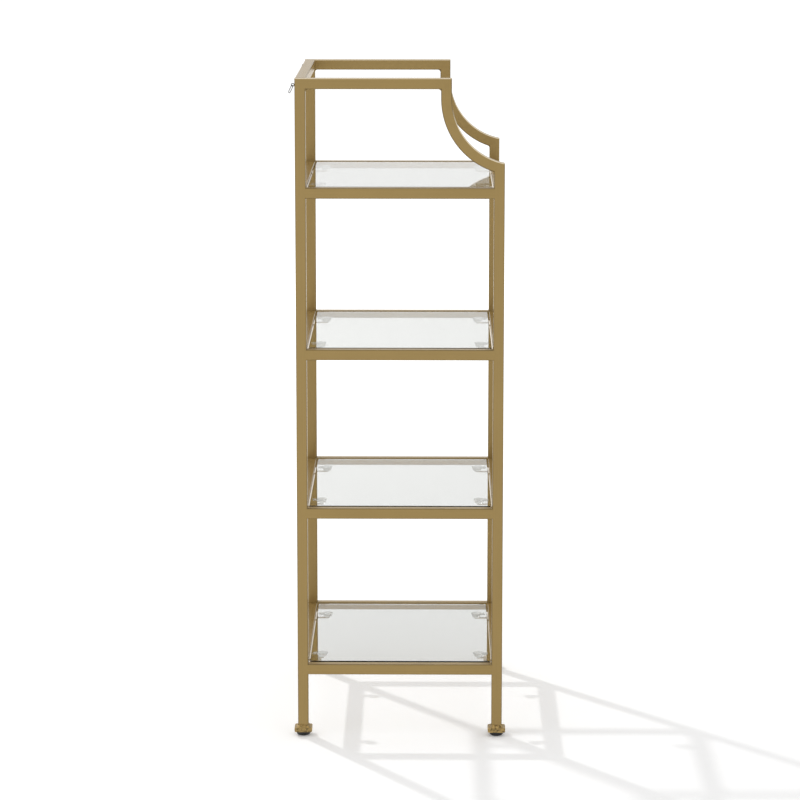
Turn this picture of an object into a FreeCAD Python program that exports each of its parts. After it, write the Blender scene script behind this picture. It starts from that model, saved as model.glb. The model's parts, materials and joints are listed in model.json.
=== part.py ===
"""Four-shelf etagere: a welded frame of square tube that carries glass shelves on suction pads.

Millimetres. X runs across the front (left is -X), Y to the back, Z up. The origin is on the floor,
at the centre of the overall footprint, which reaches from the front foot plates to the wall links.
Shelf levels are numbered from 1, the lowest. One STEP file is written for each named sub-part.
"""

import FreeCAD, Part
import math
import os

Vector = FreeCAD.Vector

# Overall sizes
WIDTH = 485.0               # over the two side frames
DEPTH = 371.0               # over the front and back posts
HEIGHT = 1196.0             # floor to the top of the top rails

# Square tube of the frame
TUBE = 19.0
TUBE_WALL = 1.2
TUBE_CORNER = 2.0           # outer corner radius

# Shelf levels
SHELF_LEVELS = 4
LOWEST_SHELF = 134.0        # floor to the top of the lowest shelf frame
GALLERY_HEIGHT = 193.5      # top of the top shelf's frame to the top of the top rails

# Gallery above the top shelf: a short upright under the top rail runs into a bend to the front post
STUB_SETBACK = 94.0         # front of the posts to the front of the short upright
STUB_DROP = 35.5            # top of the frame to the start of the bend
BEND_RADIUS = 116.5         # hollow face of the bend
WELD_RADIUS = 5.0           # welds in the inner corners of a side frame

# Glass shelves
GLASS_THICKNESS = 6.0
GLASS_RECESS = 0.5          # glass top below the top of its rails
GLASS_SIDE_GAP = 8.5        # to the side rails
GLASS_FRONT_GAP = 2.5       # to the front and back rails
GLASS_CORNER = 4.0
GLASS_ARRIS = 0.6           # ground edge

# Clear suction pads under the glass, each on a tab welded to a front or back rail
PAD_SIDE_INSET = 75.0       # inner face of the side rail to the pad
PAD_INSET = 22.5            # inner face of the front or back rail to the pad
PAD_HEIGHT = 9.0            # tab to glass
PAD_RIM = 10.2
PAD_FACE = 1.5              # width of the flat ring that meets the glass
PAD_HOLLOW = 2.2            # depth of the cup
PAD_BASE = 4.4              # radius of the flat underside, and of the floor of the hollow
PAD_BOWL_RADIUS = 8.6       # the bowl's outside is this wide at the height below
PAD_BOWL_HEIGHT = 4.0
PAD_SIDES = 12              # flat sides that make up its round outline
TAB_WIDTH = 6.0
TAB_THICKNESS = 1.5
TAB_CLIP = 1.5              # clipped corners of its free end

# Feet
FOOT_PLATE = 32.0
FOOT_PLATE_THICKNESS = 8.0
FOOT_WELD = 2.2
WELD_TOE = 0.3              # how far the weld's thin upper edge stands off the leg
GLIDE_RADIUS = 12.6
GLIDE_FLOOR_RADIUS = 9.4
GLIDE_HEIGHT = 8.0
GLIDE_BAND = 5.4            # height of the glide's straight side
GLIDE_SIDES = 24            # flat sides that make up its round outline
STEM_RADIUS = 2.9
STEM_LENGTH = 30.0
STEM_CLEARANCE = 0.08
PLATE_HOLE_CLEARANCE = 0.4
NUT_ACROSS = 10.0
NUT_HEIGHT = 6.0

# Screw eye on the back of each back post, and the wire link that hangs in it
EYE_DROP = 12.0             # top of the frame to the eye
EYE_RADIUS = 2.5            # centre line of the eye
EYE_WIRE = 1.1              # side of its square wire
EYE_STANDOFF = 3.3          # post to the middle of the eye
EYE_SHANK = 1.2             # shank radius
EYE_DEPTH = 9.0             # shank inside the post
THREAD_CLEARANCE = 0.05
EYE_NUT_ACROSS = 5.5
EYE_NUT_LENGTH = 5.0
LINK_WIRE = 1.0             # side of its square wire
LINK_BEND = 3.2             # centre line of the link's ends
LINK_STRAIGHT = 8.5
LINK_PLAY = 0.7             # middle of the eye to the link's wire
LINK_TILT = 25.0            # degrees out from hanging straight
LINK_TWIST = 30.0           # degrees about the link's own length

# Planes and centres that follow
BORE = TUBE - 2 * TUBE_WALL
POST_X = (WIDTH - TUBE) / 2
INNER_X = WIDTH / 2 - TUBE
PLATE_OVERHANG = (FOOT_PLATE - TUBE) / 2
LEG_BASE = GLIDE_HEIGHT + FOOT_PLATE_THICKNESS
SHELF_PITCH = (HEIGHT - GALLERY_HEIGHT - LOWEST_SHELF) / (SHELF_LEVELS - 1)
LINK_LENGTH = LINK_PLAY + LINK_BEND + LINK_STRAIGHT
SIDES = {"left": -1, "right": 1}
LEVELS = range(1, SHELF_LEVELS + 1)


def link_reach():
    """How far the tilted link stands out behind the posts."""
    tilt = math.radians(LINK_TILT)
    twist = math.radians(LINK_TWIST)
    half = LINK_WIRE / 2
    end = (LINK_BEND + half) * math.hypot(math.sin(tilt), math.sin(twist) * math.cos(tilt))
    flank = half * math.cos(twist) * math.cos(tilt)
    return EYE_STANDOFF + LINK_LENGTH * math.sin(tilt) + end + flank


FRONT = PLATE_OVERHANG - (PLATE_OVERHANG + DEPTH + link_reach()) / 2
BACK = FRONT + DEPTH
MIDDLE_Y = (FRONT + BACK) / 2
FRONT_POST_Y = FRONT + TUBE / 2
BACK_POST_Y = BACK - TUBE / 2
STUB_FRONT = FRONT + STUB_SETBACK
BEND_Y = STUB_FRONT - BEND_RADIUS
BEND_Z = HEIGHT - STUB_DROP


def shelf_top(level):
    return LOWEST_SHELF + (level - 1) * SHELF_PITCH


def bend_height(radius, y):
    """Height of the bend's face of this radius where it crosses the plane at y."""
    return BEND_Z - math.sqrt(radius ** 2 - (y - BEND_Y) ** 2)


# ---- shared shapes ----

def tube_outline():
    """Wire round the outside of the tube's section, about the origin in the XY plane."""
    edge = TUBE / 2
    flat = edge - TUBE_CORNER
    diagonal = flat + TUBE_CORNER * math.sqrt(0.5)
    edges = []
    for quarter in range(4):
        turn = FreeCAD.Rotation(Vector(0, 0, 1), 90 * quarter)
        start, end, middle, last = [
            turn.multVec(Vector(x, y, 0))
            for x, y in ((edge, -flat), (edge, flat), (diagonal, diagonal), (flat, edge))
        ]
        edges.append(Part.LineSegment(start, end).toShape())
        edges.append(Part.Arc(end, middle, last).toShape())
    return Part.Wire(edges)


def bar(length):
    """Solid bar with the tube's outside, standing on the origin."""
    return Part.Face(tube_outline()).extrude(Vector(0, 0, length))


def square_outline(side):
    """Sharp-cornered square about the origin in the XY plane."""
    return Part.makePlane(side, side, Vector(-side / 2, -side / 2, 0)).OuterWire


def square_bar(length, side):
    """Sharp-edged square bar that stands on the origin."""
    return Part.Face(square_outline(side)).extrude(Vector(0, 0, length))


def tube(length):
    return bar(length).cut(square_bar(length, BORE))


def polygon(corners):
    return Part.Face(Part.makePolygon(corners + corners[:1]))


def along_y(shape):
    """Lays an upright shape along +Y."""
    return shape.rotated(Vector(), Vector(1, 0, 0), -90)


def along_x(shape):
    """Lays an upright shape along +X."""
    return shape.rotated(Vector(), Vector(0, 1, 0), 90)


def cylinder(radius, length, base, axis=Vector(0, 0, 1)):
    return Part.makeCylinder(radius, length, base, axis)


def cut_beyond(shape, point, direction):
    """The shape without what lies beyond the plane through the point that faces the direction."""
    reach = 4 * TUBE
    block = Part.makeBox(2 * reach, 2 * reach, reach, Vector(-reach, -reach, 0))
    block.Placement = FreeCAD.Placement(point, FreeCAD.Rotation(Vector(0, 0, 1), direction))
    return shape.cut(block)


def many_sided(profile, sides):
    """Solid about Z with flat faces between regular polygons at these (radius, height) points."""
    turns = [FreeCAD.Rotation(Vector(0, 0, 1), 360 * n / sides) for n in range(sides)]
    rings = [[turn.multVec(Vector(radius, 0, height)) for turn in turns] for radius, height in profile]
    faces = [polygon(rings[0]), polygon(rings[-1])]
    for low, high in zip(rings, rings[1:]):
        faces += [polygon([low[n - 1], low[n], high[n], high[n - 1]]) for n in range(sides)]
    shell = Part.makeShell(faces)
    shell.sewShape()
    return Part.makeSolid(shell)


def nut_blank(across_flats, height):
    """Hexagonal prism that stands on the origin."""
    radius = across_flats / math.sqrt(3)
    return many_sided([(radius, 0), (radius, height)], 6)


# ---- side frames, built in the plane x = 0 ----

BACK_CORNER = Vector(0, BACK, HEIGHT)
STUB_CORNER = Vector(0, STUB_FRONT, HEIGHT)
BEND_CORNER = Vector(0, FRONT, bend_height(BEND_RADIUS, FRONT))
BEND_INNER = Vector(0, FRONT + TUBE, bend_height(BEND_RADIUS + TUBE, FRONT + TUBE))
BEND_MITRE = Vector(0, BEND_CORNER.z - BEND_INNER.z, TUBE)


def back_post():
    post = tube(HEIGHT - LEG_BASE).translated(Vector(0, BACK_POST_Y, LEG_BASE))
    post = cut_beyond(post, BACK_CORNER, Vector(0, -1, 1))
    hole = cylinder(EYE_SHANK + THREAD_CLEARANCE, TUBE / 2, eye_centre(), Vector(0, -1, 0))
    return post.cut(hole)


def front_post():
    post = tube(BEND_CORNER.z - LEG_BASE).translated(Vector(0, FRONT_POST_Y, LEG_BASE))
    return cut_beyond(post, BEND_CORNER, BEND_MITRE)


def top_rail():
    rail = along_y(tube(BACK - STUB_FRONT)).translated(Vector(0, STUB_FRONT, HEIGHT - TUBE / 2))
    rail = cut_beyond(rail, BACK_CORNER, Vector(0, 1, -1))
    return cut_beyond(rail, STUB_CORNER, Vector(0, -1, -1))


def flattened_square():
    """Face of the bent tube's section: its corners are flats that touch the straight tube's round ones."""
    edge = TUBE / 2
    flat = edge - TUBE_CORNER * (2 - math.sqrt(2))
    corners = []
    for quarter in range(4):
        turn = FreeCAD.Rotation(Vector(0, 0, 1), 90 * quarter)
        corners += [turn.multVec(Vector(edge, flat, 0)), turn.multVec(Vector(flat, edge, 0))]
    return polygon(corners)


def bent_bar(section):
    """Solid of this section through the short upright and the bend that runs on from its foot."""
    start = section.translated(Vector(0, STUB_FRONT + TUBE / 2, BEND_Z))
    sweep = math.degrees(math.acos((FRONT - BEND_Y) / BEND_RADIUS))
    bend = start.revolve(Vector(0, BEND_Y, BEND_Z), Vector(-1, 0, 0), sweep)
    return start.extrude(Vector(0, 0, STUB_DROP)).fuse(bend).removeSplitter()


def corner_bend():
    bend = bent_bar(flattened_square()).cut(bent_bar(Part.Face(square_outline(BORE))))
    bend = cut_beyond(bend, STUB_CORNER, Vector(0, 1, 1))
    return cut_beyond(bend, BEND_CORNER, -BEND_MITRE)


def side_rail(level):
    """Shelf rail of a side frame, its ends coped to the posts so that the side faces run on flush."""
    top = shelf_top(level)
    rail = along_y(tube(DEPTH - TUBE)).translated(Vector(0, FRONT_POST_Y, top - TUBE / 2))
    for y in (FRONT_POST_Y, BACK_POST_Y):
        rail = rail.cut(bar(2 * TUBE).translated(Vector(0, y, top - 1.5 * TUBE)))
    return rail


def weld(corner, first, second, centre):
    """Concave weld between two tangent points, in the flat middle of the tube's width."""
    towards = corner.sub(centre)
    middle = centre.add(towards.multiply(WELD_RADIUS / towards.Length))
    edges = [
        Part.LineSegment(corner, first).toShape(),
        Part.Arc(first, middle, second).toShape(),
        Part.LineSegment(second, corner).toShape(),
    ]
    width = TUBE - 2 * TUBE_CORNER
    return Part.Face(Part.Wire(edges)).extrude(Vector(width, 0, 0)).translated(Vector(-width / 2, 0, 0))


def square_weld(corner, along):
    """Weld in a right-angled corner below the top rail; along is -1 towards the front, 1 the back."""
    down = corner.add(Vector(0, 0, -WELD_RADIUS))
    across = corner.add(Vector(0, along * WELD_RADIUS, 0))
    centre = corner.add(Vector(0, along * WELD_RADIUS, -WELD_RADIUS))
    return weld(corner, down, across, centre)


def bend_weld():
    """Weld between the back of the front post and the lower face of the bend."""
    outer = BEND_RADIUS + TUBE
    y = FRONT + TUBE + WELD_RADIUS
    centre = Vector(0, y, bend_height(outer + WELD_RADIUS, y))
    hub = Vector(0, BEND_Y, BEND_Z)
    spoke = centre.sub(hub)
    on_post = Vector(0, FRONT + TUBE, centre.z)
    on_bend = hub.add(spoke.multiply(outer / spoke.Length))
    return weld(BEND_INNER, on_post, on_bend, centre)


def corner_welds():
    underside = HEIGHT - TUBE
    return [
        square_weld(Vector(0, BACK - TUBE, underside), -1),
        square_weld(Vector(0, STUB_FRONT + TUBE, underside), 1),
        bend_weld(),
    ]


# ---- feet ----

def foot_plate(y):
    """Square plate with the weld bead round the leg and the hole for the glide's stem."""
    foot = square_outline(TUBE + 2 * FOOT_WELD)
    crown = square_outline(TUBE + 2 * WELD_TOE).translated(Vector(0, 0, FOOT_WELD))
    bead = Part.makeLoft([foot, crown], True, True).cut(square_bar(FOOT_WELD, TUBE))
    plate = square_bar(FOOT_PLATE_THICKNESS, FOOT_PLATE)
    plate = plate.fuse(bead.translated(Vector(0, 0, FOOT_PLATE_THICKNESS)))
    plate = plate.cut(cylinder(STEM_RADIUS + PLATE_HOLE_CLEARANCE, FOOT_PLATE_THICKNESS, Vector()))
    return plate.removeSplitter().translated(Vector(0, y, GLIDE_HEIGHT))


def leveler_nut(y):
    nut = nut_blank(NUT_ACROSS, NUT_HEIGHT).cut(cylinder(STEM_RADIUS + STEM_CLEARANCE, NUT_HEIGHT, Vector()))
    return nut.translated(Vector(0, y, LEG_BASE))


def leveler_glide(y):
    """Round plastic glide, tapered to the floor."""
    profile = [(GLIDE_FLOOR_RADIUS, 0), (GLIDE_RADIUS, GLIDE_HEIGHT - GLIDE_BAND), (GLIDE_RADIUS, GLIDE_HEIGHT)]
    return many_sided(profile, GLIDE_SIDES).translated(Vector(0, y, 0))


def leveler_stem(y):
    return cylinder(STEM_RADIUS, STEM_LENGTH, Vector(0, y, GLIDE_HEIGHT))


# ---- cross rails ----

def cross_rail(y, top):
    """Rail between the side frames, butted to the inner faces of the posts."""
    return along_x(tube(2 * INNER_X)).translated(Vector(-INNER_X, y, top - TUBE / 2))


def cross_rails():
    rails = {"top_back_rail": cross_rail(BACK_POST_Y, HEIGHT)}
    for level in LEVELS:
        rails[f"front_rail_{level}"] = cross_rail(FRONT_POST_Y, shelf_top(level))
        rails[f"back_rail_{level}"] = cross_rail(BACK_POST_Y, shelf_top(level))
    return {name: [rail] for name, rail in rails.items()}


# ---- shelves ----

def glass_bottom(level):
    return shelf_top(level) - GLASS_RECESS - GLASS_THICKNESS


def tab_top(level):
    return glass_bottom(level) - PAD_HEIGHT


def glass_shelf(level):
    width = 2 * (INNER_X - GLASS_SIDE_GAP)
    depth = DEPTH - 2 * (TUBE + GLASS_FRONT_GAP)
    base = Vector(-width / 2, MIDDLE_Y - depth / 2, glass_bottom(level))
    glass = Part.makeBox(width, depth, GLASS_THICKNESS, base)
    uprights = [edge for edge in glass.Edges if edge.BoundBox.ZLength > GLASS_THICKNESS / 2]
    glass = glass.makeFillet(GLASS_CORNER, uprights)
    rims = [edge for edge in glass.Edges if edge.BoundBox.ZLength < GLASS_THICKNESS / 2]
    return glass.makeChamfer(GLASS_ARRIS, rims)


def pad_places():
    """Centre of each pad, and the direction from it to the rail that carries it."""
    x = INNER_X - PAD_SIDE_INSET
    front = FRONT + TUBE + PAD_INSET
    back = BACK - TUBE - PAD_INSET
    return [(side * x, y, towards) for side in (-1, 1) for y, towards in ((front, -1), (back, 1))]


def glass_tab(x, y, towards, level):
    """Tab from the rail's inner face to just past the pad, its free end clipped."""
    half = TAB_WIDTH / 2
    outline = [(-half, PAD_INSET), (half, PAD_INSET), (half, TAB_CLIP - half), (half - TAB_CLIP, -half),
               (TAB_CLIP - half, -half), (-half, TAB_CLIP - half)]
    corners = [Vector(x + across, y + towards * along, tab_top(level)) for across, along in outline]
    return polygon(corners).extrude(Vector(0, 0, -TAB_THICKNESS))


def suction_pad(x, y, level):
    """Clear suction cup that stands on its tab and meets the glass with a flat ring."""
    profile = [(PAD_BASE, 0), (PAD_BOWL_RADIUS, PAD_BOWL_HEIGHT), (PAD_RIM, PAD_HEIGHT),
               (PAD_RIM - PAD_FACE, PAD_HEIGHT), (PAD_BASE, PAD_HEIGHT - PAD_HOLLOW)]
    return many_sided(profile, PAD_SIDES).translated(Vector(x, y, tab_top(level)))


# ---- wall links ----

def eye_centre():
    return Vector(0, BACK + EYE_STANDOFF, HEIGHT - EYE_DROP)


def screw_eye():
    """Flat ring in the plane of the side frame, on a shank that runs into the post."""
    centre = eye_centre()
    side = centre.sub(Vector(EYE_WIRE / 2, 0, 0))
    ring = cylinder(EYE_RADIUS + EYE_WIRE / 2, EYE_WIRE, side, Vector(1, 0, 0))
    shank_start = centre.sub(Vector(0, EYE_RADIUS, 0))
    reach = EYE_STANDOFF - EYE_RADIUS + EYE_DEPTH
    eye = ring.fuse(cylinder(EYE_SHANK, reach, shank_start, Vector(0, -1, 0)))
    return eye.cut(cylinder(EYE_RADIUS - EYE_WIRE / 2, EYE_WIRE, side, Vector(1, 0, 0)))


def eye_nut():
    """Nut behind the post's back wall, which the screw eye threads into."""
    nut = nut_blank(EYE_NUT_ACROSS, EYE_NUT_LENGTH)
    nut = nut.cut(cylinder(EYE_SHANK + THREAD_CLEARANCE, EYE_NUT_LENGTH, Vector()))
    start = Vector(0, BACK - TUBE_WALL - EYE_NUT_LENGTH, HEIGHT - EYE_DROP)
    return along_y(nut).translated(start)


def oval(radius):
    """Outline of the hanging link in its own plane, with round ends of this radius."""
    top = -LINK_PLAY - LINK_BEND
    bottom = top - LINK_STRAIGHT
    edges = [
        Part.Arc(Vector(-radius, 0, top), Vector(0, 0, top + radius), Vector(radius, 0, top)).toShape(),
        Part.LineSegment(Vector(radius, 0, top), Vector(radius, 0, bottom)).toShape(),
        Part.Arc(Vector(radius, 0, bottom), Vector(0, 0, bottom - radius), Vector(-radius, 0, bottom)).toShape(),
        Part.LineSegment(Vector(-radius, 0, bottom), Vector(-radius, 0, top)).toShape(),
    ]
    return Part.Face(Part.Wire(edges))


def wall_link():
    """Oval link of square wire that hangs in the eye."""
    half = LINK_WIRE / 2
    ring = oval(LINK_BEND + half).cut(oval(LINK_BEND - half))
    link = ring.translated(Vector(0, -half, 0)).extrude(Vector(0, LINK_WIRE, 0))
    link = link.rotated(Vector(), Vector(0, 0, 1), LINK_TWIST)
    return link.rotated(Vector(), Vector(1, 0, 0), LINK_TILT).translated(eye_centre())


# ---- assembly ----

def outward(side, shapes):
    """The shapes of one side, moved out to the middle of its posts."""
    return [shape.translated(Vector(side * POST_X, 0, 0)) for shape in shapes]


def side_frame_parts(name, side):
    parts = {
        "back_post": back_post(),
        "front_post": front_post(),
        "top_rail": top_rail(),
        "corner_bend": corner_bend(),
        "wall_link": wall_link(),
    }
    for level in LEVELS:
        parts[f"shelf_rail_{level}"] = side_rail(level)
    return {f"{name}_{part}": outward(side, [shape]) for part, shape in parts.items()}


def repeated_frame_parts():
    """The small fixed pieces that both side frames carry, each kind in one group."""
    groups = {
        "corner_welds": corner_welds(),
        "foot_plates": [foot_plate(FRONT_POST_Y), foot_plate(BACK_POST_Y)],
        "leveler_nuts": [leveler_nut(FRONT_POST_Y), leveler_nut(BACK_POST_Y)],
        "screw_eyes": [screw_eye()],
        "eye_nuts": [eye_nut()],
    }
    return {
        name: [shape for side in SIDES.values() for shape in outward(side, shapes)]
        for name, shapes in groups.items()
    }


def shelf_parts():
    parts = {f"glass_shelf_{level}": [glass_shelf(level)] for level in LEVELS}
    parts["glass_tabs"] = [glass_tab(*place, level) for level in LEVELS for place in pad_places()]
    parts["suction_pads"] = [suction_pad(x, y, level) for level in LEVELS for x, y, towards in pad_places()]
    return parts


def leveler_parts():
    parts = {}
    for name, side in SIDES.items():
        for end, y in (("front", FRONT_POST_Y), ("back", BACK_POST_Y)):
            parts[f"{name}_{end}_glide"] = outward(side, [leveler_glide(y)])
            parts[f"{name}_{end}_stem"] = outward(side, [leveler_stem(y)])
    return parts


def build():
    parts = cross_rails()
    for name, side in SIDES.items():
        parts.update(side_frame_parts(name, side))
    parts.update(repeated_frame_parts())
    parts.update(shelf_parts())
    parts.update(leveler_parts())
    return parts


def write(parts):
    os.makedirs("parts", exist_ok=True)
    for name, solids in parts.items():
        shape = solids[0] if len(solids) == 1 else Part.makeCompound(solids)
        shape.exportStep(f"parts/{name}.step")


write(build())
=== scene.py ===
"""Looks of the four-shelf etagere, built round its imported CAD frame.

The scene is in metres, +Z up, front towards -Y. The pieces are drawn in millimetres."""

import json
import math

import bmesh
import bpy
from mathutils import Matrix, Vector


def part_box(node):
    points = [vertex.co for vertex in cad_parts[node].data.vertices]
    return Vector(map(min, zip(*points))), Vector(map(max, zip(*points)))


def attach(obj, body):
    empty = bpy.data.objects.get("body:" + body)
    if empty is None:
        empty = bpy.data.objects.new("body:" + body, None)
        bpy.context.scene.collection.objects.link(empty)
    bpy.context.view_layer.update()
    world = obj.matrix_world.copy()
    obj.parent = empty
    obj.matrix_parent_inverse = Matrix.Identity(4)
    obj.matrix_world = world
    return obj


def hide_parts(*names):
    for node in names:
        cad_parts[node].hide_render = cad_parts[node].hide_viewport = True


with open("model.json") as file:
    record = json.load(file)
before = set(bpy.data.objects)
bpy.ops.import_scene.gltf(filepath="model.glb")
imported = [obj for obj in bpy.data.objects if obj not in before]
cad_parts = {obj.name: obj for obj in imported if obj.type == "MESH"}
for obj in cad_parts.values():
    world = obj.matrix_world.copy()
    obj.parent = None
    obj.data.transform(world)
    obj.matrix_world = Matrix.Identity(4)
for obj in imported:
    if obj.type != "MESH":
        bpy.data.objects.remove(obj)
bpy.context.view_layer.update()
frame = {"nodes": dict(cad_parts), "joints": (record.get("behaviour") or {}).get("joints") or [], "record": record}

MM = 0.001
SIDES = {"left": -1, "right": 1}
ENDS = {"front": -1, "back": 1}
LEVELS = range(1, 5)


def add_object(name, data):
    thing = bpy.data.objects.new(name, data)
    bpy.context.scene.collection.objects.link(thing)
    return thing


# ---- camera: stands off the left side, a little above the top, as in the photograph ----

CAMERA_PLACE = Vector((-5.720, -0.0590, 1.6140))
CAMERA_PITCH = math.radians(10.26)      # downwards
CAMERA_YAW = math.radians(0.59)         # from +X towards +Y
CAMERA_LENS = 140.1
CAMERA_CLIP = (0.1, 200.0)


def add_camera():
    data = bpy.data.cameras.new("camera")
    data.lens = CAMERA_LENS
    data.clip_start, data.clip_end = CAMERA_CLIP
    camera = add_object("camera", data)
    level = math.cos(CAMERA_PITCH)
    forward = Vector((level * math.cos(CAMERA_YAW), level * math.sin(CAMERA_YAW),
                      -math.sin(CAMERA_PITCH)))
    camera.location = CAMERA_PLACE
    camera.rotation_mode = "QUATERNION"
    camera.rotation_quaternion = forward.to_track_quat("-Z", "Y")
    bpy.context.scene.camera = camera


# ---- materials ----

GOLD = (0.336, 0.231, 0.084)
GOLD_GLANCE = (1.0, 0.93, 0.80, 1)      # tint of its glancing reflections
GOLD_METALLIC = 0.5
GOLD_FLATS = (0.97, 1.04)               # its darkest and lightest shade
GOLD_TONES = (-0.2, 0.7)                # what its clouds and its streaks each add, from 0 to 1
GOLD_PAINTED_EDGE_SHADE = 0.5                         # painted shade on its round edges, as a share of its colour
GOLD_PAINTED_HIGHLIGHT = (0.82, 0.70, 0.50, 1)     # painted highlight on the upper round edges
GOLD_ROUGHNESS = (0.23, 0.255)
GOLD_STREAK = 0.012                     # how fast streaks change along a tube, for 1 across it
GOLD_LOOSE = (0.2, 0.2, 0.2)            # the same in X, Y and Z for a bend or tab
EDGE_LEAN = (0.05, 0.25)                # lean of a normal where an edge starts and is full
EDGE_UPWARD = (0.1, 0.3)                # the same for how far it faces up
WELD_PAINTED_SHADE_AND_HIGHLIGHT = (0.38, 1.7)               # painted shade in its hollows and painted highlight on its crests, as shares of the gold
WELD_ROUGHNESS = (0.4, 0.2)
GLASS_IOR = 1.52
GLASS_ROUGHNESS = (0.0, 0.012)
GLASS_TINT = (0.12, 0.22, 0.03, 1)
GLASS_DENSITY = 12.5
PAD_COLOUR = (0.92, 0.92, 0.90, 1)
PAD_IOR = 1.45
PAD_CLEAR = 0.7
PAD_ROUGHNESS = (0.15, 0.3)
BLACKS = ((0.004, 0.004, 0.004, 1), (0.009, 0.009, 0.008, 1))
BLACK_ROUGHNESS = (0.2, 0.3)
STEELS = ((0.05, 0.05, 0.05, 1), (0.10, 0.10, 0.09, 1))
STEEL_ROUGHNESS = (0.25, 0.45)


def new_material(name):
    """Material, its node tree and its shader."""
    material = bpy.data.materials.new(name)
    material.use_nodes = True
    tree = material.node_tree
    return material, tree, tree.nodes["Principled BSDF"]


def set_values(shader, **values):
    """Sets what is the same all over the surface, on the shader's own sockets."""
    for socket, value in values.items():
        shader.inputs[socket.replace("_", " ")].default_value = value


def noise(tree, scale, detail=2.0, stretch=(1, 1, 1)):
    """Noise fixed to the object, with its features this many to the metre."""
    nodes, links = tree.nodes, tree.links
    place = nodes.new("ShaderNodeTexCoord")
    mapping = nodes.new("ShaderNodeMapping")
    mapping.inputs["Scale"].default_value = stretch
    texture = nodes.new("ShaderNodeTexNoise")
    texture.inputs["Scale"].default_value = scale
    texture.inputs["Detail"].default_value = detail
    links.new(place.outputs["Object"], mapping.inputs["Vector"])
    links.new(mapping.outputs["Vector"], texture.inputs["Vector"])
    return texture.outputs["Fac"]


def spread(tree, factor, low, high, start=0.3, end=0.7):
    """Maps start to end, by default the middle of a noise, onto low to high."""
    node = tree.nodes.new("ShaderNodeMapRange")
    node.inputs["From Min"].default_value = start
    node.inputs["From Max"].default_value = end
    node.inputs["To Min"].default_value = low
    node.inputs["To Max"].default_value = high
    tree.links.new(factor, node.inputs["Value"])
    return node.outputs["Result"]


def add_values(tree, *values):
    """Sum of the values, no more than 1."""
    total = values[0]
    for value in values[1:]:
        node = tree.nodes.new("ShaderNodeMath")
        node.operation = "ADD"
        node.use_clamp = True
        tree.links.new(total, node.inputs[0])
        tree.links.new(value, node.inputs[1])
        total = node.outputs["Value"]
    return total


def blend(tree, factor, first, second, kind="FLOAT"):
    """Blends two values, each a number, a colour or a socket."""
    node = tree.nodes.new("ShaderNodeMix")
    node.data_type = kind
    for name, value in (("A", first), ("B", second)):
        if isinstance(value, bpy.types.NodeSocket):
            tree.links.new(value, node.inputs[name])
        else:
            node.inputs[name].default_value = value
    tree.links.new(factor, node.inputs["Factor"])
    return node.outputs["Result"]


def blend_colours(tree, factor, first, second):
    return blend(tree, factor, first, second, "RGBA")


def shade(colour, light):
    """The colour made this much lighter or darker, as a colour of four values."""
    return (*[value * light for value in colour], 1)


def add_bump(tree, shader, height, strength, distance):
    node = tree.nodes.new("ShaderNodeBump")
    node.inputs["Strength"].default_value = strength
    node.inputs["Distance"].default_value = distance
    tree.links.new(height, node.inputs["Height"])
    tree.links.new(node.outputs["Normal"], shader.inputs["Normal"])


def tube_edges(tree, axis):
    """1 on the round edges of a square tube and 0 on its flats, and then 1 where it faces up.

    On an edge the normal is neither along this axis nor square to it."""
    place = tree.nodes.new("ShaderNodeTexCoord")
    parts = tree.nodes.new("ShaderNodeSeparateXYZ")
    fold = tree.nodes.new("ShaderNodeMath")
    fold.operation = "PINGPONG"
    fold.inputs[1].default_value = 0.5
    tree.links.new(place.outputs["Normal"], parts.inputs["Vector"])
    tree.links.new(parts.outputs[axis], fold.inputs[0])
    edges = spread(tree, fold.outputs["Value"], 0.0, 1.0, *EDGE_LEAN)
    return edges, spread(tree, parts.outputs["Z"], 0.0, 1.0, *EDGE_UPWARD)


def gold_material(name, stretch, axis="X", painted_highlight=False):
    """Satin gold: lacquered metal, faintly cloudy, with fine grain, streaks and painted shade on its round edges.

    If asked, its upper round edges get a painted highlight in place of that shade."""
    material, tree, shader = new_material(name)
    set_values(shader, Metallic=GOLD_METALLIC, Specular_Tint=GOLD_GLANCE)
    streaks = noise(tree, scale=420.0, detail=3.0, stretch=stretch)
    clouds = noise(tree, scale=9.0, detail=3.0)
    tones = add_values(tree, *[spread(tree, part, *GOLD_TONES) for part in (clouds, streaks)])
    flats = blend_colours(tree, tones, *[shade(GOLD, light) for light in GOLD_FLATS])
    on_edge, upward = tube_edges(tree, axis)
    # painted shade on the round edges
    dark = shade(GOLD, GOLD_PAINTED_EDGE_SHADE)
    # if asked, a painted highlight on the upper round edges instead of the painted shade
    edges = blend_colours(tree, upward, dark, GOLD_PAINTED_HIGHLIGHT if painted_highlight else dark)
    colour = blend_colours(tree, on_edge, flats, edges)
    tree.links.new(colour, shader.inputs["Base Color"])
    tree.links.new(spread(tree, streaks, *GOLD_ROUGHNESS), shader.inputs["Roughness"])
    add_bump(tree, shader, noise(tree, scale=2600.0), strength=0.2, distance=0.00002)
    return material


def weld_material():
    """The same gold over rough weld: small lumps, with painted shade in their hollows and a painted highlight on
    their crests.
    """
    material, tree, shader = new_material("satin_gold_weld")
    set_values(shader, Metallic=GOLD_METALLIC, Specular_Tint=GOLD_GLANCE)
    lumps = noise(tree, scale=260.0, detail=3.0)
    height = spread(tree, lumps, 0.0, 1.0, start=0.36, end=0.66)
    # painted shade in the hollows and painted highlight on the crests, following the bump's height
    colour = blend_colours(tree, height, *[shade(GOLD, light) for light in WELD_PAINTED_SHADE_AND_HIGHLIGHT])
    tree.links.new(colour, shader.inputs["Base Color"])
    tree.links.new(spread(tree, lumps, *WELD_ROUGHNESS), shader.inputs["Roughness"])
    add_bump(tree, shader, lumps, strength=0.8, distance=0.0008)
    return material


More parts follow.
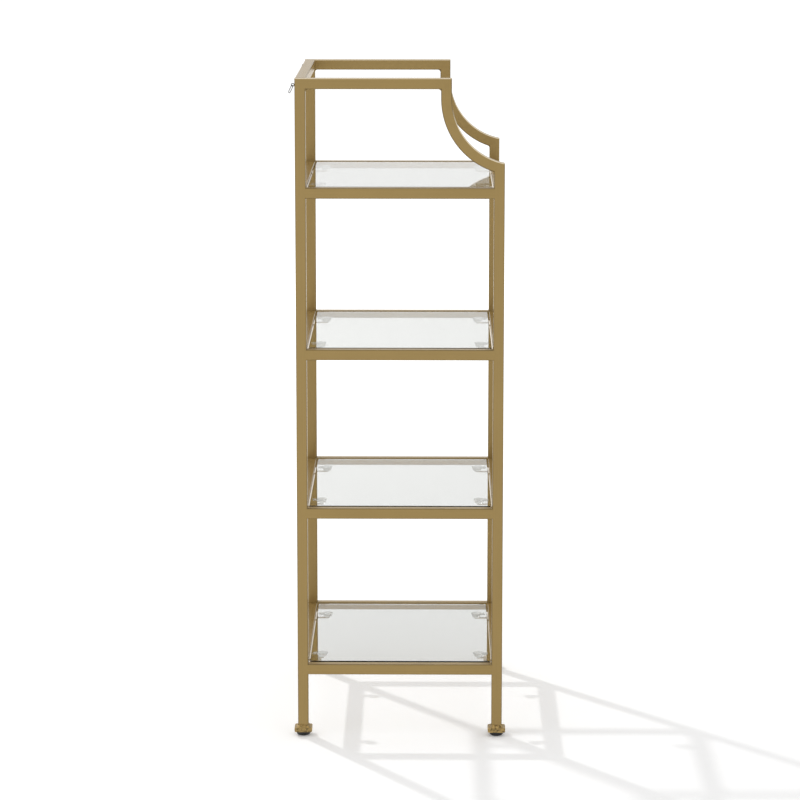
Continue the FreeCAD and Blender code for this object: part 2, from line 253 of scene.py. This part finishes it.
def glass_material():
    """Clear float glass, almost neutral through its thickness and dark green along its length."""
    material, tree, shader = new_material("float_glass")
    set_values(shader, Base_Color=(1, 1, 1, 1), IOR=GLASS_IOR, Transmission_Weight=1.0)
    haze = spread(tree, noise(tree, scale=5.0), *GLASS_ROUGHNESS)
    tree.links.new(haze, shader.inputs["Roughness"])
    absorption = tree.nodes.new("ShaderNodeVolumeAbsorption")
    absorption.inputs["Color"].default_value = GLASS_TINT
    absorption.inputs["Density"].default_value = GLASS_DENSITY
    tree.links.new(absorption.outputs["Volume"], tree.nodes["Material Output"].inputs["Volume"])
    return material


def pad_material():
    """Clear soft plastic, slightly milky."""
    material, tree, shader = new_material("clear_soft_plastic")
    set_values(shader, Base_Color=PAD_COLOUR, IOR=PAD_IOR, Transmission_Weight=PAD_CLEAR)
    haze = spread(tree, noise(tree, scale=400.0), *PAD_ROUGHNESS)
    tree.links.new(haze, shader.inputs["Roughness"])
    return material


def black_material():
    """Black moulded plastic with a fine texture and a little gloss."""
    material, tree, shader = new_material("black_moulded_plastic")
    colour = blend_colours(tree, spread(tree, noise(tree, scale=60.0), 0.0, 1.0), *BLACKS)
    tree.links.new(colour, shader.inputs["Base Color"])
    gloss = spread(tree, noise(tree, scale=900.0), *BLACK_ROUGHNESS)
    tree.links.new(gloss, shader.inputs["Roughness"])
    add_bump(tree, shader, noise(tree, scale=2500.0, detail=3.0), strength=0.3, distance=0.00003)
    return material


def steel_material():
    """Zinc-plated steel, a little dull and unevenly toned."""
    material, tree, shader = new_material("zinc_plated_steel")
    set_values(shader, Metallic=1.0)
    cloud = spread(tree, noise(tree, scale=300.0, detail=4.0), 0.0, 1.0)
    tree.links.new(blend_colours(tree, cloud, *STEELS), shader.inputs["Base Color"])
    gloss = spread(tree, noise(tree, scale=800.0), *STEEL_ROUGHNESS)
    tree.links.new(gloss, shader.inputs["Roughness"])
    return material


GOLD_ALONG = {
    "x": gold_material("satin_gold_x", (GOLD_STREAK, 1, 1), "Z"),
    "y": gold_material("satin_gold_y", (1, GOLD_STREAK, 1)),
    "z": gold_material("satin_gold_z", (1, 1, GOLD_STREAK)),
}
# the top rails get a painted highlight on their upper edges
GOLD_TOP = gold_material("satin_gold_top", (1, GOLD_STREAK, 1), painted_highlight=True)
GOLD_WELD = weld_material()
MATERIALS = {
    # bends and tabs get a painted highlight on their upper edges
    "gold_frame": gold_material("satin_gold", GOLD_LOOSE, painted_highlight=True),
    "shelf_glass": glass_material(),
    "clear_pad": pad_material(),
    "black_plastic": black_material(),
    "steel": steel_material(),
}


def gold_for(node):
    """The gold whose streaks run along this node's tube."""
    if node.endswith("_post"):
        return GOLD_ALONG["z"]
    if node.startswith(("front_rail", "back_rail", "top_back_rail")):
        return GOLD_ALONG["x"]
    if node.endswith("_top_rail"):
        return GOLD_TOP
    if "_rail" in node:
        return GOLD_ALONG["y"]
    if node == "corner_welds":
        return GOLD_WELD
    return MATERIALS["gold_frame"]


def dress_cad_nodes():
    """Gives every CAD node its slot's material; glass dims no light on its way to the floor."""
    for part in frame["record"]["subparts"]:
        node = frame["nodes"][part["node"]]
        slot = part["material_slot"]
        material = gold_for(node.name) if slot == "gold_frame" else MATERIALS[slot]
        node.data.materials.clear()
        node.data.materials.append(material)
        if slot == "shelf_glass":
            node.visible_shadow = False
            node.visible_diffuse = False


# ---- shared mesh work: shapes are drawn in millimetres about their own origin ----

WIRE_SIDES = 14


def turns(count):
    return [2 * math.pi * n / count for n in range(count)]


def circle(radius, height, points):
    return [Vector((radius * math.cos(a), radius * math.sin(a), height)) for a in turns(points)]


def arc(centre, radius, start, end, steps):
    """Points of a circular arc in a profile's plane, angles in degrees."""
    angles = [math.radians(start + (end - start) * n / steps) for n in range(steps + 1)]
    return [(centre[0] + radius * math.cos(a), centre[1] + radius * math.sin(a)) for a in angles]


def rounded_square(side, corner, height):
    """Ring of points round a square with round corners."""
    inset = side / 2 - corner
    ring = []
    for quarter in range(4):
        turn = Matrix.Rotation(math.radians(90 * quarter), 3, "Z")
        bend = arc((inset, inset), corner, 0, 90, 6)
        ring += [turn @ Vector((x, y, height)) for x, y in bend]
    return ring


def like_ring(ring, radius, height):
    """Circle whose points stand at the same angles as the ring's."""
    points = [point.to_2d().normalized() * radius for point in ring]
    return [Vector((point.x, point.y, height)) for point in points]


def walk_square(side, corner, count):
    """Evenly spaced points round a square with round corners, each with its outward direction."""
    flat = side - 2 * corner
    quarter = flat + corner * math.pi / 2
    walk = []
    for n in range(count):
        number, along = divmod(4 * quarter * n / count, quarter)
        turn = Matrix.Rotation(math.radians(90) * number, 2)
        angle = max(0.0, along - flat) / corner
        away = Vector((math.cos(angle), math.sin(angle)))
        point = Vector((flat / 2, min(along, flat) - flat / 2)) + away * corner
        walk.append((turn @ point, turn @ away))
    return walk


def loft(bm, rings, closed=False):
    """Joins rings of as many points, the last to the first too if closed, or else with caps."""
    rows = [[bm.verts.new(point * MM) for point in ring] for ring in rings]
    pairs = list(zip(rows, rows[1:]))
    if closed:
        pairs.append((rows[-1], rows[0]))
    else:
        bm.faces.new(rows[0])
        bm.faces.new(rows[-1])
    for low, high in pairs:
        for n in range(len(low)):
            bm.faces.new((low[n - 1], low[n], high[n], high[n - 1]))


def lathe(bm, profile, points):
    """Adds a capped solid of revolution about Z from (radius, height) points."""
    loft(bm, [circle(radius, height, points) for radius, height in profile])


def wire(bm, path, radius):
    """Adds a closed loop of round wire along the points."""
    rings = []
    normal = None
    for n, point in enumerate(path):
        along = (path[(n + 1) % len(path)] - path[n - 1]).normalized()
        normal = along.orthogonal() if normal is None else normal - along * normal.dot(along)
        normal.normalize()
        across = along.cross(normal)
        spokes = [normal * math.cos(a) + across * math.sin(a) for a in turns(WIRE_SIDES)]
        rings.append([point + spoke * radius for spoke in spokes])
    loft(bm, rings, closed=True)


def finish_mesh(bm, name, sharp_angle=35):
    """Turns the drawing into a mesh that is smooth up to this angle."""
    bmesh.ops.recalc_face_normals(bm, faces=bm.faces)
    data = bpy.data.meshes.new(name)
    bm.to_mesh(data)
    bm.free()
    data.shade_smooth()
    data.set_sharp_from_angle(angle=math.radians(sharp_angle))
    return data


def united(first, second):
    """The first mesh joined with the second by an exact union."""
    solids = [add_object(data.name, data) for data in (first, second)]
    modifier = solids[0].modifiers.new("union", "BOOLEAN")
    modifier.operation = "UNION"
    modifier.solver = "EXACT"
    modifier.object = solids[1]
    shapes = bpy.context.evaluated_depsgraph_get()
    joined = bpy.data.meshes.new_from_object(solids[0].evaluated_get(shapes))
    for solid in solids:
        bpy.data.objects.remove(solid)
    return joined


def add_piece(name, data, slot, body, place, *nodes, turn=0):
    """Puts the mesh at a place in metres, as a piece on a body that stands for these CAD nodes."""
    if not data.materials:
        data.materials.append(MATERIALS[slot])
    piece = add_object(name, data)
    piece.location = place
    piece.rotation_euler.z = math.radians(turn)
    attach(piece, body)
    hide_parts(*nodes)


# ---- feet ----

PLATE_SIDE = 32.0
PLATE_CORNER = 4.5
PLATE_ARRIS = 0.7
PLATE_HOLE = 3.3                # radius
LEG_SIDE = 19.0
LEG_CORNER = 2.0
BEAD_LEG = 4.9                  # height and width of the weld on the leg's outer and inner side
BEAD_ENDS = 0.45                # share of that on its front and back
BEAD_STEPS = 6
BEAD_FLATNESS = 0.6             # of its section, from 0, a quarter round, to 1, a straight slope
BEAD_POINTS = 208
BEAD_RIPPLES = 17
BEAD_RIPPLE = 0.13              # size of the ripples and of the slower swell, as shares
BEAD_SWELL = 0.15
GLIDE_RADIUS = 12.6
GLIDE_SOLE = 4.6                # radius of its lower edge
GLIDE_SOLE_START = -84          # degrees; not -90, so that the sole clears the floor by a hair
GLIDE_RIM = 0.6
GLIDE_POINTS = 48
STEM_RADIUS = 2.9
STEM_POINTS = 24
THREAD_PITCH = 1.0
THREAD_DEPTH = 0.5
THREAD_STEPS = 8


def bead_size(lap, away):
    """Size of the weld at this angle of its lap, where it faces away."""
    swell = math.sin(3 * lap + 1) * math.sin(7 * lap)
    size = 1 + BEAD_RIPPLE * math.sin(BEAD_RIPPLES * lap) + BEAD_SWELL * swell
    return size * (BEAD_ENDS + (1 - BEAD_ENDS) * away.x ** 2)


def add_bead(bm, height):
    """Rippled fillet of weld round the leg, on a plane at this height."""
    walk = walk_square(LEG_SIDE, LEG_CORNER, BEAD_POINTS)
    roundness = 1 - BEAD_FLATNESS
    rings = []
    for share in [n / BEAD_STEPS for n in range(BEAD_STEPS + 1)]:
        turn = share * math.pi / 2
        out = BEAD_LEG * (BEAD_FLATNESS * (1 - share) + roundness * math.cos(turn))
        up = BEAD_LEG * (BEAD_FLATNESS * share + roundness * math.sin(turn))
        ring = []
        for n, (point, away) in enumerate(walk):
            size = bead_size(2 * math.pi * n / BEAD_POINTS, away)
            flat = point + away * out * size
            ring.append(Vector((flat.x, flat.y, height + up * size)))
        rings.append(ring)
    rings.append([Vector((point.x, point.y, height)) for point, away in walk])
    loft(bm, rings, closed=True)


def foot_plate_mesh(thickness):
    """Square plate with eased edges, a hole for the stem and the weld round the leg."""
    bm = bmesh.new()
    eased = [(PLATE_ARRIS, 0), (0.3 * PLATE_ARRIS, 0.3 * PLATE_ARRIS), (0, PLATE_ARRIS)]
    eased += [(inset, thickness - height) for inset, height in reversed(eased)]
    outline = [rounded_square(PLATE_SIDE - 2 * inset, PLATE_CORNER - inset, height)
               for inset, height in eased]
    hole = [like_ring(outline[0], PLATE_HOLE, height) for height in (thickness, 0)]
    loft(bm, outline + hole, closed=True)
    add_bead(bm, thickness)
    data = finish_mesh(bm, "foot_plate")
    data.materials.append(GOLD_WELD)
    return data


def glide_mesh(height):
    """Round glide with a soft lower edge."""
    bm = bmesh.new()
    sole = arc((GLIDE_RADIUS - GLIDE_SOLE, GLIDE_SOLE), GLIDE_SOLE, GLIDE_SOLE_START, 0, 10)
    rim = arc((GLIDE_RADIUS - GLIDE_RIM, height - GLIDE_RIM), GLIDE_RIM, 0, 90, 4)
    lathe(bm, sole + rim, GLIDE_POINTS)
    return finish_mesh(bm, "glide", 60)


def stem_mesh(length):
    """Threaded stem."""
    bm = bmesh.new()
    steps = round(length / THREAD_PITCH) * THREAD_STEPS
    rings = []
    for height in [length * n / steps for n in range(steps + 1)]:
        ring = circle(1, height, STEM_POINTS)
        for n, point in enumerate(ring):
            phase = (height / THREAD_PITCH - n / STEM_POINTS) % 1
            point.xy *= STEM_RADIUS - THREAD_DEPTH * abs(2 * phase - 1)
        rings.append(ring)
    loft(bm, rings)
    return finish_mesh(bm, "stem")


def add_feet():
    low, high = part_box("left_front_glide")
    glide_height = (high.z - low.z) / MM
    stem_low, stem_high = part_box("left_front_stem")
    leg_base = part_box("left_front_post")[0].z
    plate = foot_plate_mesh(leg_base / MM - glide_height)
    glide = glide_mesh(glide_height)
    stem = stem_mesh((stem_high.z - stem_low.z) / MM)
    for side, across in SIDES.items():
        for end, along in ENDS.items():
            low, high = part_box(f"{side}_{end}_stem")
            middle = (low + high) / 2
            foot = Vector((middle.x, middle.y, 0))
            top = foot + Vector((0, 0, low.z))
            turn = 180 * (across != along)      # so that a side's two welds differ
            body = f"{side}_{end}_leveler"
            add_piece(f"glide_{side}_{end}", glide, "black_plastic", body, foot,
                      f"{side}_{end}_glide")
            add_piece(f"stem_{side}_{end}", stem, "steel", body, top, f"{side}_{end}_stem")
            add_piece(f"foot_plate_{side}_{end}", plate, "gold_frame", "frame", top,
                      "foot_plates", turn=turn)


# ---- suction pads ----

PAD_SIDE_INSET = 75.0           # of its middle from the side rail
PAD_INSET = 22.5                # and from the front or back rail
PAD_HEIGHT = 9.0
PAD_RIM = 10.2                  # radius
PAD_LIP = 0.5
PAD_BOWL = ((3.8, 0), (4.6, 0.1), (5.6, 0.6), (6.8, 1.6),       # (radius, height), outside
            (7.8, 3.0), (8.5, 4.6), (8.9, 6.2), (9.3, 7.6))
PAD_HOLLOW = ((8.8, PAD_HEIGHT), (7.9, 8.7), (6.4, 7.9), (4.0, 7.1), (1.8, 6.8))
PAD_POINTS = 56
PAD_TAB_OUT = 12.4
PAD_TAB_RADIUS = 5.2
PAD_TAB_HOLE = 1.8
PAD_TAB_Z = 7.1
PAD_TAB_THICKNESS = 3.2
PAD_TAB_POINTS = 40
PAD_SMOOTH = 50


def pad_cup():
    """Suction cup: a rounded bowl with a hollow face and a thin rim against the glass."""
    bm = bmesh.new()
    lip = arc((PAD_RIM - PAD_LIP, PAD_HEIGHT - PAD_LIP), PAD_LIP, -60, 90, 6)
    lathe(bm, [*PAD_BOWL, *lip, *PAD_HOLLOW], PAD_POINTS)
    return finish_mesh(bm, "pad", PAD_SMOOTH)


def pad_tab():
    """Flat ring to pull the pad off by, towards -Y."""
    bm = bmesh.new()
    half = PAD_TAB_THICKNESS / 2
    outer = arc((PAD_TAB_RADIUS - half, 0), half, -90, 90, 6)
    inner = arc((PAD_TAB_HOLE + half, 0), half, 90, 270, 6)
    rings = [circle(radius, height, PAD_TAB_POINTS) for radius, height in outer + inner]
    loft(bm, rings, closed=True)
    bmesh.ops.translate(bm, verts=bm.verts, vec=Vector((0, -PAD_TAB_OUT, PAD_TAB_Z)) * MM)
    return finish_mesh(bm, "pad_tab", PAD_SMOOTH)


def add_pads():
    """A pad near each corner of each glass, its tab towards the rail that carries it."""
    pad = united(pad_cup(), pad_tab())
    for level in LEVELS:
        glass_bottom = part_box(f"glass_shelf_{level}")[0].z
        inner_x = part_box(f"right_shelf_rail_{level}")[0].x
        inner_y = {"front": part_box(f"front_rail_{level}")[1].y,
                   "back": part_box(f"back_rail_{level}")[0].y}
        for side, across in SIDES.items():
            for end, along in ENDS.items():
                x = across * (inner_x - PAD_SIDE_INSET * MM)
                y = inner_y[end] - along * PAD_INSET * MM
                place = Vector((x, y, glass_bottom - PAD_HEIGHT * MM))
                add_piece(f"pad_{level}_{side}_{end}", pad, "clear_pad", "frame", place,
                          "suction_pads", turn=180 * (end == "back"))


# ---- wall links ----

EYE_RADIUS = 2.5
EYE_WIRE = 0.7
EYE_POINTS = 40
EYE_NECK = 0.9                  # radii of the shank by the ring, through the post and at the collar
EYE_SHANK = 1.2
EYE_COLLAR = 2.0
EYE_COLLAR_HEIGHT = 0.45
EYE_COLLAR_SLOPE = 0.05
EYE_OVERLAP = 0.2               # of the shank and the ring's wire
EYE_SHANK_POINTS = 24
LINK_WIRE = 0.62
LINK_BEND = 3.2
LINK_STRAIGHT = 8.5
LINK_PLAY = 0.7                 # from the pivot down to the middle of its wire
LINK_TILT = 25.0
LINK_TWIST = 30.0


def eye_mesh(standoff, depth):
    """Round wire eye in the side frame's plane, on a shank with a small collar at the post."""
    bm = bmesh.new()
    collar = standoff - EYE_COLLAR_HEIGHT
    shank = [(EYE_NECK, EYE_RADIUS - EYE_OVERLAP), (EYE_SHANK, collar - EYE_COLLAR_SLOPE),
             (EYE_COLLAR, collar), (EYE_COLLAR, standoff),
             (EYE_SHANK, standoff), (EYE_SHANK, standoff + depth)]
    lathe(bm, shank, EYE_SHANK_POINTS)
    bmesh.ops.rotate(bm, verts=bm.verts, matrix=Matrix.Rotation(math.radians(90), 3, "X"))
    ring = [Vector((0, EYE_RADIUS * math.cos(a), EYE_RADIUS * math.sin(a)))
            for a in turns(EYE_POINTS)]
    wire(bm, ring, EYE_WIRE)
    return finish_mesh(bm, "screw_eye")


def link_mesh():
    """Oval link of round wire that hangs from the origin."""
    bm = bmesh.new()
    top = -LINK_PLAY - LINK_BEND
    outline = arc((0, top), LINK_BEND, 0, 180, 16)
    outline += arc((0, top - LINK_STRAIGHT), LINK_BEND, 180, 360, 16)
    tilt = Matrix.Rotation(math.radians(LINK_TILT), 3, "X")
    lean = tilt @ Matrix.Rotation(math.radians(LINK_TWIST), 3, "Z")
    wire(bm, [lean @ Vector((x, 0, z)) for x, z in outline], LINK_WIRE)
    return finish_mesh(bm, "wall_link")


def add_wall_links():
    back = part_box("left_back_post")[1].y
    eye_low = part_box("screw_eyes")[0].y
    for joint in frame["joints"]:
        if not joint["name"].endswith("_link_swing"):
            continue
        side = joint["name"].split("_")[0]
        pivot = Vector(joint["pos_m"])
        eye = eye_mesh((pivot.y - back) / MM, (back - eye_low) / MM)
        add_piece(f"screw_eye_{side}", eye, "steel", "frame", pivot, "screw_eyes")
        add_piece(f"link_{side}", link_mesh(), "steel", joint["child"], pivot,
                  f"{side}_wall_link")


# ---- stage, in metres ----

LAMP_PLACE = Vector((3.90, 2.85, 3.83))
LAMP_POWER = 486.0
LAMP_RADIUS = 0.095
SKY_STRENGTH = 0.80
FLOOR_REACH = 60.0
FLOOR_WHITE = (0.98, 0.98, 0.98, 1)
FLOOR_GLOW = (0.12, 0.30)       # near the object, where its shadow shows, and far from it
FLOOR_GLOW_REACH = (1.6, 6.0)
WALL_STOPS = (                  # (height of sight, as the sine of its angle; light)
    (0.10, 0.96), (0.15, 0.80), (0.206, 0.72), (0.25, 0.59), (0.28, 0.59), (0.33, 0.92),
    (0.50, 1.0))


def seen_by(tree, *kinds):
    """1 for rays of these kinds, 0 for others."""
    path = tree.nodes.new("ShaderNodeLightPath")
    return add_values(tree, *[path.outputs[f"Is {kind} Ray"] for kind in kinds])


def floor_glow(tree):
    """A glow for the camera and for gloss, with which the floor meets the white behind it.

    It lights nothing and isn't seen through glass."""
    place = tree.nodes.new("ShaderNodeTexCoord")
    distance = tree.nodes.new("ShaderNodeVectorMath")
    distance.operation = "LENGTH"
    tree.links.new(place.outputs["Object"], distance.inputs[0])
    glow = spread(tree, distance.outputs["Value"], *FLOOR_GLOW, *FLOOR_GLOW_REACH)
    glow = blend(tree, seen_by(tree, "Camera", "Glossy"), 0.0, glow)
    return blend(tree, seen_by(tree, "Transmission"), glow, 0.0)


def add_floor():
    """Pale matt floor."""
    bm = bmesh.new()
    corners = [(-1, -1), (1, -1), (1, 1), (-1, 1)]
    bm.faces.new([bm.verts.new((x * FLOOR_REACH, y * FLOOR_REACH, 0)) for x, y in corners])
    data = bpy.data.meshes.new("floor")
    bm.to_mesh(data)
    bm.free()
    floor = add_object("floor", data)
    material, tree, shader = new_material("floor")
    set_values(shader, Base_Color=FLOOR_WHITE, Roughness=0.9, Specular_IOR_Level=0.0,
               Emission_Color=(1, 1, 1, 1))
    tree.links.new(floor_glow(tree), shader.inputs["Emission Strength"])
    data.materials.append(material)


def wall_by_height(tree):
    """What gloss sees: a white wall, a dimmer stretch above it and bright lamps overhead."""
    place = tree.nodes.new("ShaderNodeTexCoord")
    parts = tree.nodes.new("ShaderNodeSeparateXYZ")
    ramp = tree.nodes.new("ShaderNodeValToRGB")
    tree.links.new(place.outputs["Generated"], parts.inputs["Vector"])
    tree.links.new(parts.outputs["Z"], ramp.inputs["Fac"])
    stops = ramp.color_ramp.elements
    while len(stops) < len(WALL_STOPS):
        stops.new(0.5)
    for stop, (height, light) in zip(stops, WALL_STOPS):
        stop.position = height
        stop.color = (light, light, light, 1)
    return ramp.outputs["Color"]


def add_world():
    """White to the camera, a wall and lamps to gloss, and an even, dimmer light to the rest."""
    world = bpy.data.worlds.new("world")
    bpy.context.scene.world = world
    world.use_nodes = True
    tree = world.node_tree
    sky = tree.nodes["Background"]
    sky.inputs["Color"].default_value = (1, 1, 1, 1)
    in_gloss = seen_by(tree, "Glossy", "Transmission")
    strength = blend(tree, in_gloss, SKY_STRENGTH, wall_by_height(tree))
    strength = blend(tree, seen_by(tree, "Camera"), strength, 1.0)
    tree.links.new(strength, sky.inputs["Strength"])


def add_lamp():
    """The lamp behind the shelves that draws their shadow on the floor."""
    data = bpy.data.lights.new("lamp", "POINT")
    data.energy = LAMP_POWER
    data.shadow_soft_size = LAMP_RADIUS
    lamp = add_object("lamp", data)
    lamp.location = LAMP_PLACE


bpy.context.scene.view_settings.view_transform = "Standard"
add_camera()
add_floor()
add_world()
add_lamp()
dress_cad_nodes()
add_feet()
add_pads()
add_wall_links()
